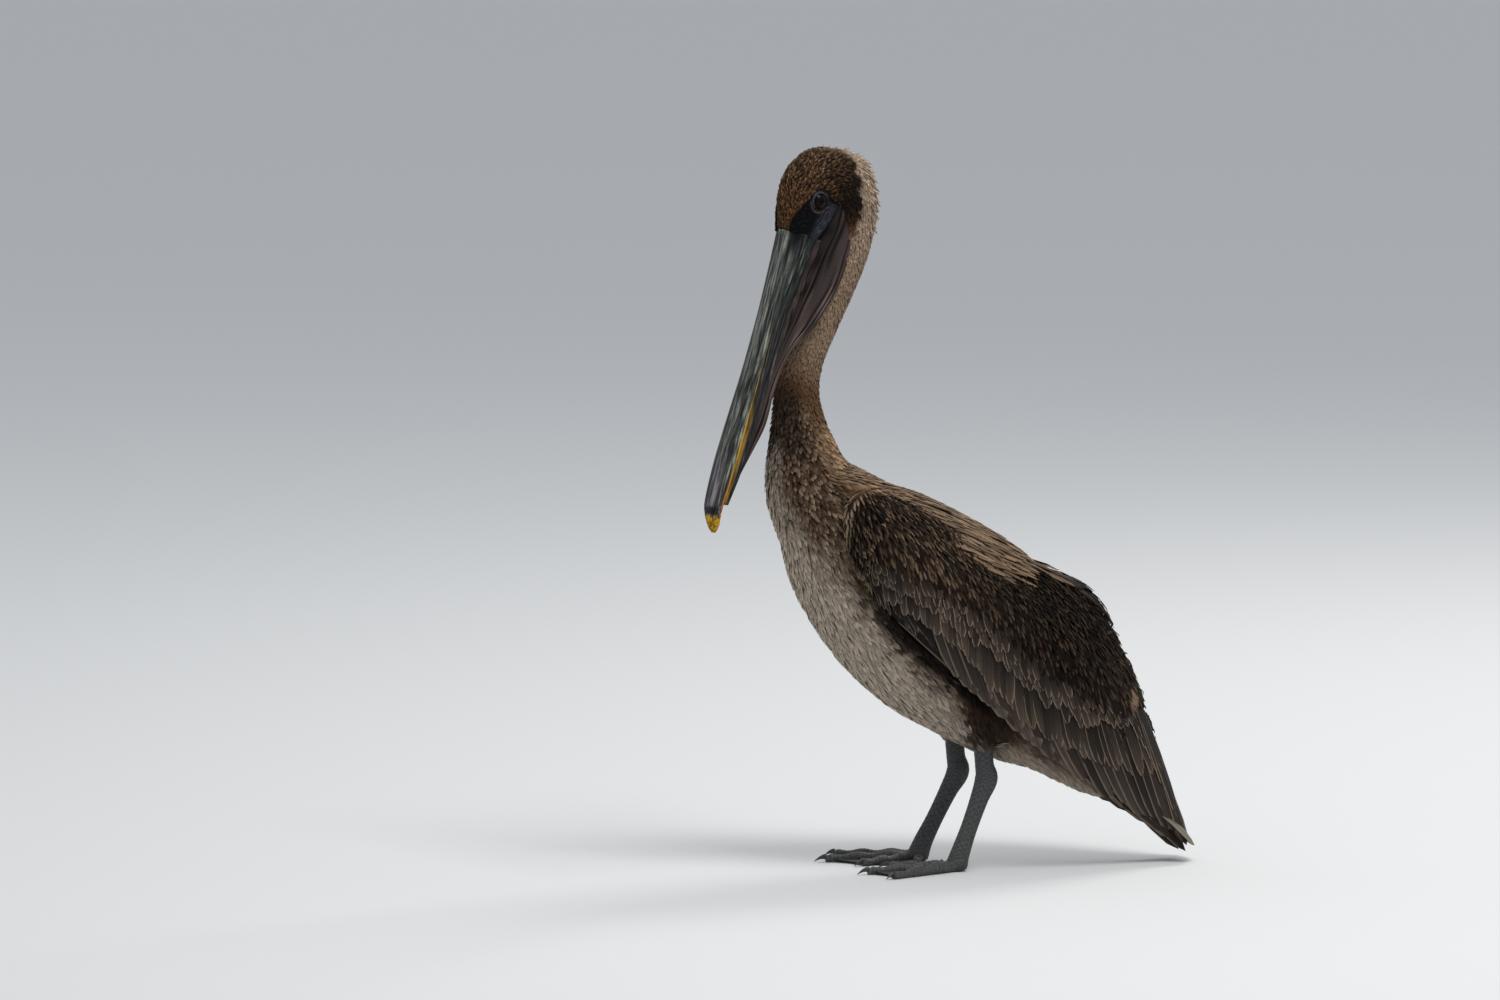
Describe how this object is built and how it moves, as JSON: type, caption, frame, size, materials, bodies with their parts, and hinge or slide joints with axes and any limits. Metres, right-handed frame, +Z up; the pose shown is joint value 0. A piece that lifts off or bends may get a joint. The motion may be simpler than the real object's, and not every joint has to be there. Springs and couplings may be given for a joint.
{
  "type": "brown pelican model",
  "caption": "Standing brown pelican, still, with folded wings, its head turned left and its long bill laid down the foreneck.",
  "frame": {"origin": "on the floor, under the middle of the whole bird's box", "axes": "+X the way the body faces, +Y the bird's left, +Z up"},
  "size_m": [0.5244, 0.21, 0.7252],
  "materials": {
    "belly": "dull pale feathers",
    "plumage": "dull grey-brown feathers",
    "crown": "dull brown feathers",
    "bill": "satin horn",
    "pouch": "creased bare skin",
    "eye": "wet gloss",
    "wing": "dull brown feathers with pale edges",
    "quill": "satin grey-brown feathers",
    "leg": "scaly dark skin",
    "claw": "satin horn"
  },
  "bodies": {
    "root": {"trunk": "belly", "neck_lower": "plumage", "neck_middle": "plumage", "neck_upper": "plumage", "head": "crown", "bill_upper": "bill", "bill_lower": "bill", "pouch": "pouch", "eye_left": "eye", "eye_right": "eye", "tail": "quill", "wing_left_coverts": "wing", "wing_left_secondaries": "quill", "wing_left_primaries": "quill", "thigh_left": "belly", "shank_left": "leg", "foot_left": "leg", "claw_left_hallux": "claw", "claw_left_inner": "claw", "claw_left_middle": "claw", "claw_left_outer": "claw", "wing_right_coverts": "wing", "wing_right_secondaries": "quill", "wing_right_primaries": "quill", "thigh_right": "belly", "shank_right": "leg", "foot_right": "leg", "claw_right_hallux": "claw", "claw_right_inner": "claw", "claw_right_middle": "claw", "claw_right_outer": "claw"}
  },
  "joints": []
}
